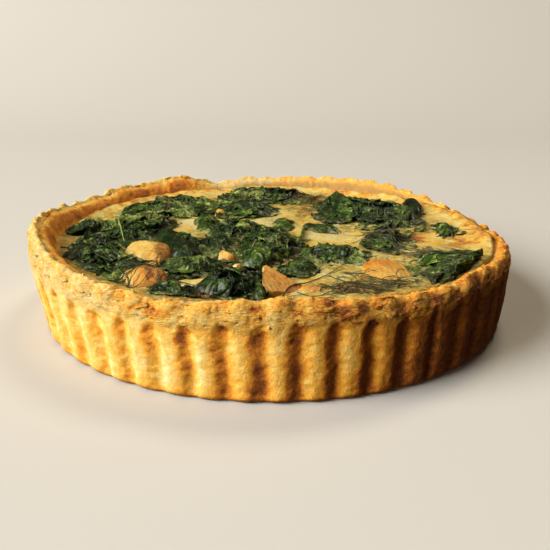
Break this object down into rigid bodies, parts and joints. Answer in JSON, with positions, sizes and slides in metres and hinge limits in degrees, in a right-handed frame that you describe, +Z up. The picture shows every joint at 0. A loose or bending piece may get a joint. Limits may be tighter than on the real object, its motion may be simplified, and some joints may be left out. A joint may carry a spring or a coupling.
{
  "type": "salmon quiche",
  "caption": "Whole round salmon and spinach quiche in a deep fluted pastry case, with salmon chunks and spinach set in a baked custard top.",
  "frame": {"origin": "middle of the flat underside", "axes": "+Z up through the quiche, -Y towards the side the picture is taken from, +X to that view's right"},
  "size_m": [0.2398, 0.2398, 0.0493],
  "materials": {
    "pastry": "golden baked shortcrust, matt and flaky",
    "custard": "set cream and egg custard, satin, lightly browned",
    "salmon": "cooked salmon, moist",
    "spinach": "wilted spinach leaf, wet"
  },
  "bodies": {
    "root": {"crust": "pastry", "filling": "custard", "salmon_large": "salmon", "salmon_left": "salmon", "salmon_small": "salmon", "salmon_peak": "salmon", "salmon_front": "salmon", "salmon_right": "salmon", "salmon_flat": "salmon", "salmon_flake": "salmon", "salmon_back": "salmon", "spinach_left_edge": "spinach", "spinach_left_front": "spinach", "spinach_left_low": "spinach", "spinach_left_back": "spinach", "spinach_back_left": "spinach", "spinach_back": "spinach", "spinach_back_middle": "spinach", "spinach_flap": "spinach", "spinach_inner": "spinach", "spinach_middle": "spinach", "spinach_centre": "spinach", "spinach_band": "spinach", "spinach_back_right": "spinach", "spinach_right_middle": "spinach", "spinach_right_edge": "spinach", "spinach_right_front": "spinach", "spinach_front": "spinach", "spinach_front_left": "spinach", "spinach_front_middle": "spinach", "spinach_curl": "spinach"}
  },
  "joints": []
}
